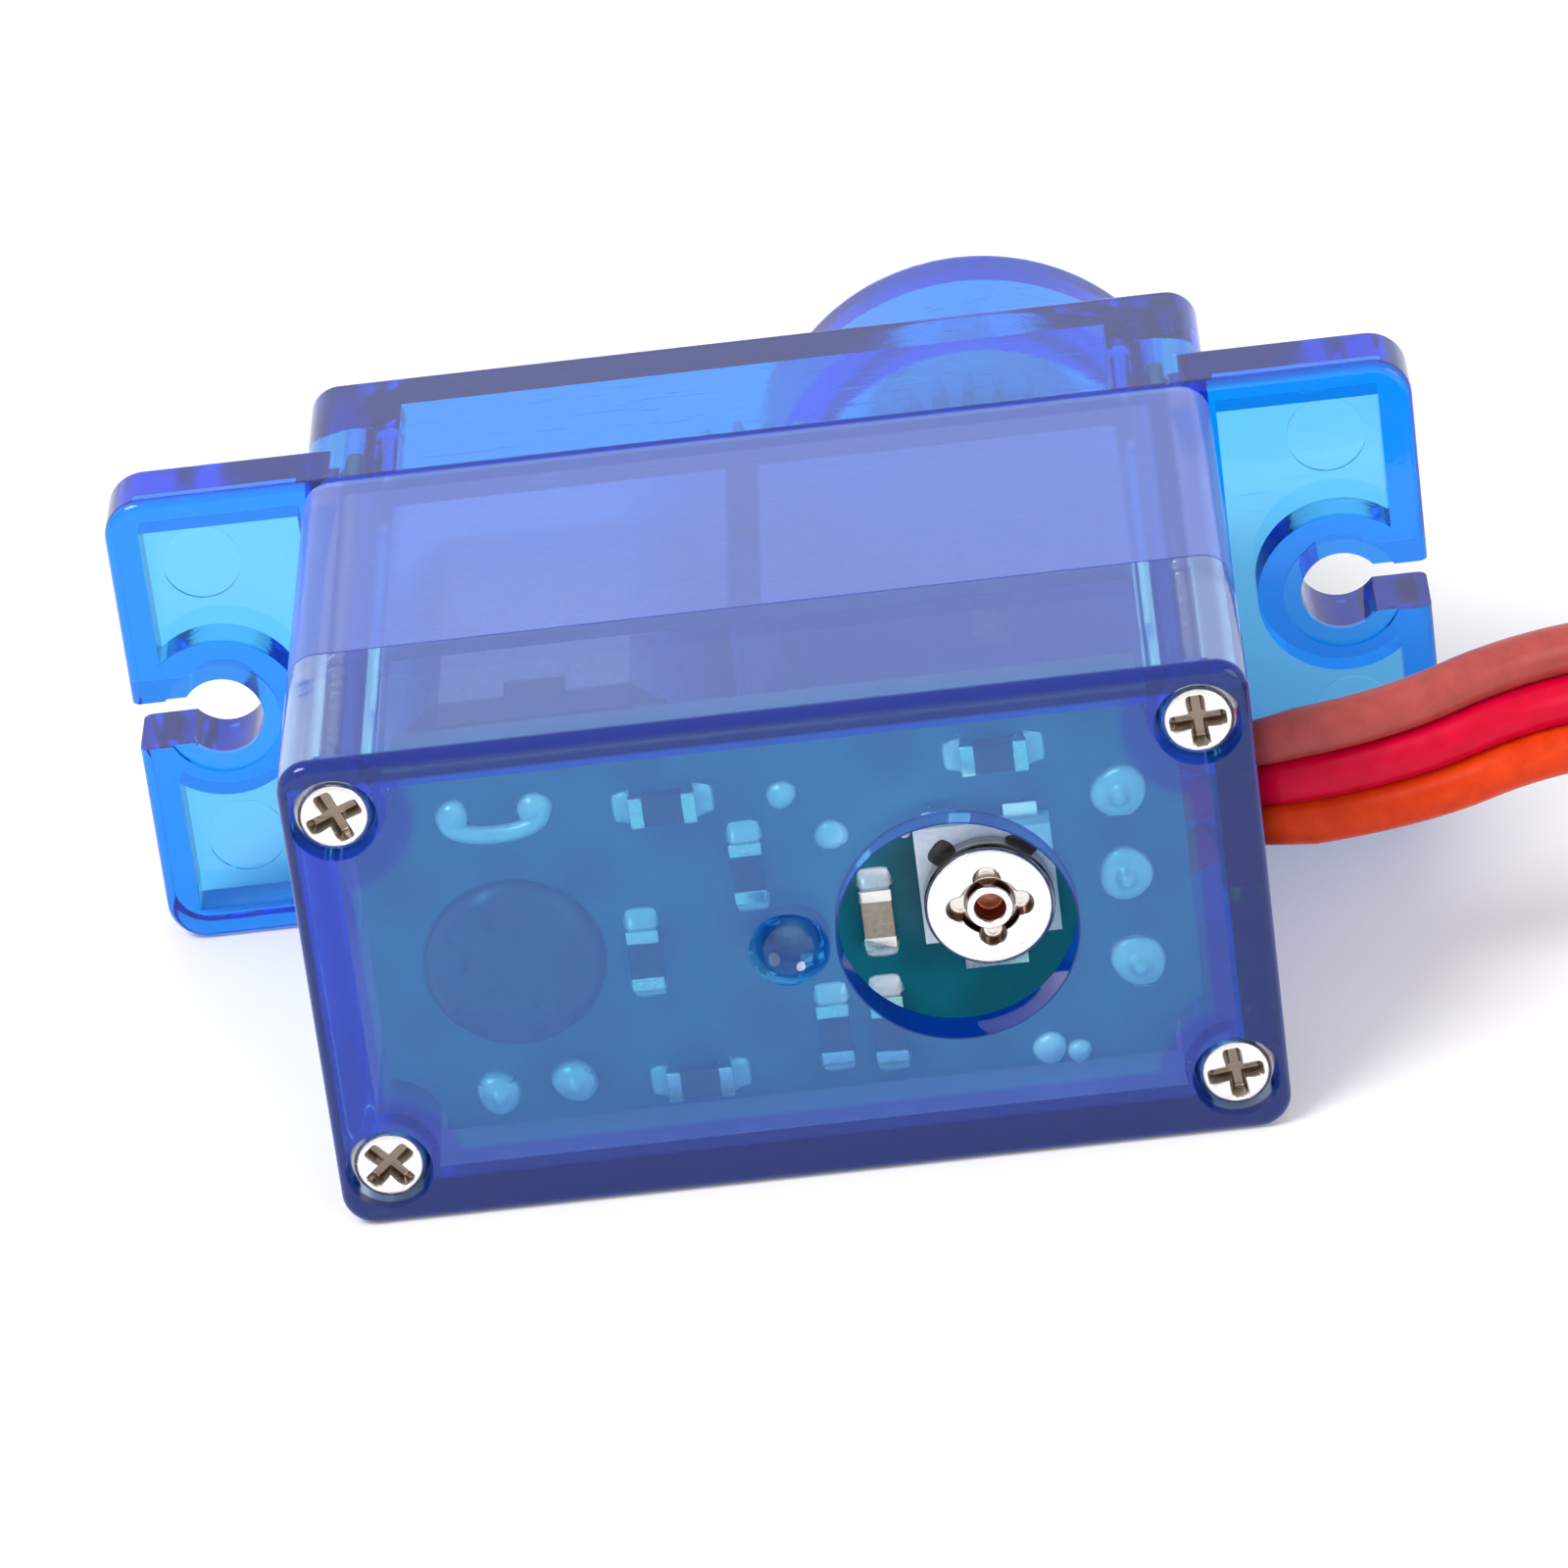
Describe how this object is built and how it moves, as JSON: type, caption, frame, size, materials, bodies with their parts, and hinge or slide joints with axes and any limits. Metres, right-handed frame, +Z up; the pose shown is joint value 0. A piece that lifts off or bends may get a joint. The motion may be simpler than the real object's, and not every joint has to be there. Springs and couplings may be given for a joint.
{
  "type": "hobby servo motor",
  "caption": "Micro continuous-rotation servo in a clear blue case with slotted mounting ears, splined output shaft, geared motor, control board with trimmer, and a flat lead with plug.",
  "frame": {"origin": "middle of the case's long side that the servo lies on, without the lead: halfway along the ears and halfway from the bottom cover to the tip of the output shaft", "axes": "+X along the case towards the lead's outlet and the output shaft's end of the case, +Y along the output shaft and out of its tip, +Z up"},
  "size_m": [0.0867, 0.051, 0.0124],
  "materials": {
    "cover_plastic": "clear blue, polished",
    "case_plastic": "clear blue, fine-grained",
    "top_plastic": "clear blue, polished",
    "screw_steel": "bright zinc",
    "board_green": "solder resist",
    "chip_black": "moulded",
    "chip_tan": "fired",
    "potting_black": "cast resin",
    "solder": "bright solder",
    "trimmer_ceramic": "fired",
    "tinned_metal": "tinned",
    "trimmer_metal": "bright plated",
    "can_steel": "zinc plated",
    "bush_bronze": "sintered",
    "end_cap_plastic": "moulded",
    "brush_metal": "stamped",
    "ferrite": "pressed ferrite",
    "shaft_steel": "ground",
    "core_steel": "stacked sheet",
    "winding_copper": "enamelled copper wire",
    "commutator_copper": "turned copper",
    "pinion_brass": "hobbed",
    "gear_nylon": "natural nylon",
    "wire_brown": "extruded insulation",
    "wire_red": "extruded insulation",
    "wire_orange": "extruded insulation",
    "tie_black": "moulded",
    "plug_black": "moulded"
  },
  "bodies": {
    "case": {"bottom_cover": "cover_plastic", "middle_case": "case_plastic", "top_case": "top_plastic", "case_screws": "screw_steel", "circuit_board": "board_green", "chip_resistors": "chip_black", "chip_capacitors": "chip_tan", "controller_blob": "potting_black", "solder_joints": "solder", "trimmer_base": "trimmer_ceramic", "trimmer_terminals": "tinned_metal", "motor_can": "can_steel", "motor_bushes": "bush_bronze", "motor_end_cap": "end_cap_plastic", "motor_terminals": "tinned_metal", "motor_brushes": "brush_metal", "motor_magnets": "ferrite", "idler_pin": "shaft_steel", "output_pin": "shaft_steel", "wire_ground": "wire_brown", "wire_power": "wire_red", "wire_signal": "wire_orange", "lead": "wire_red", "lead_coil": "wire_red", "lead_tie": "tie_black", "lead_plug": "plug_black", "plug_contacts": "tinned_metal"},
    "output": {"output_gear": "gear_nylon"},
    "third": {"third_gear": "gear_nylon"},
    "second": {"second_gear": "gear_nylon"},
    "first": {"first_gear": "gear_nylon"},
    "rotor": {"motor_shaft": "shaft_steel", "rotor_core": "core_steel", "rotor_windings": "winding_copper", "commutator": "commutator_copper", "motor_pinion": "pinion_brass"},
    "trimmer": {"trimmer_disc": "trimmer_metal"}
  },
  "joints": [
    {"name": "output_spin", "type": "hinge", "parent": "case", "child": "output", "pos_m": [0.0054, 0.005, 0.0062], "axis": [0, 1, 0], "continuous": true},
    {"name": "third_spin", "type": "hinge", "parent": "case", "child": "third", "pos_m": [-0.0001, 0.004, 0.0062], "axis": [0, 1, 0], "continuous": true},
    {"name": "second_spin", "type": "hinge", "parent": "case", "child": "second", "pos_m": [0.0054, 0.003, 0.0062], "axis": [0, 1, 0], "continuous": true},
    {"name": "first_spin", "type": "hinge", "parent": "case", "child": "first", "pos_m": [-0.0001, 0.002, 0.0062], "axis": [0, 1, 0], "continuous": true},
    {"name": "rotor_spin", "type": "hinge", "parent": "case", "child": "rotor", "pos_m": [-0.0055, -0.004, 0.0062], "axis": [0, 1, 0], "continuous": true},
    {"name": "trimmer_turn", "type": "hinge", "parent": "case", "child": "trimmer", "pos_m": [0.0048, -0.0135, 0.0062], "axis": [0, -1, 0], "range_deg": [-120, 120]}
  ],
  "couplings": [
    {"joint": "third_spin", "follows": "output_spin", "ratio": -3.4},
    {"joint": "second_spin", "follows": "output_spin", "ratio": 11.56},
    {"joint": "first_spin", "follows": "output_spin", "ratio": -46.24},
    {"joint": "rotor_spin", "follows": "output_spin", "ratio": 203.46}
  ]
}
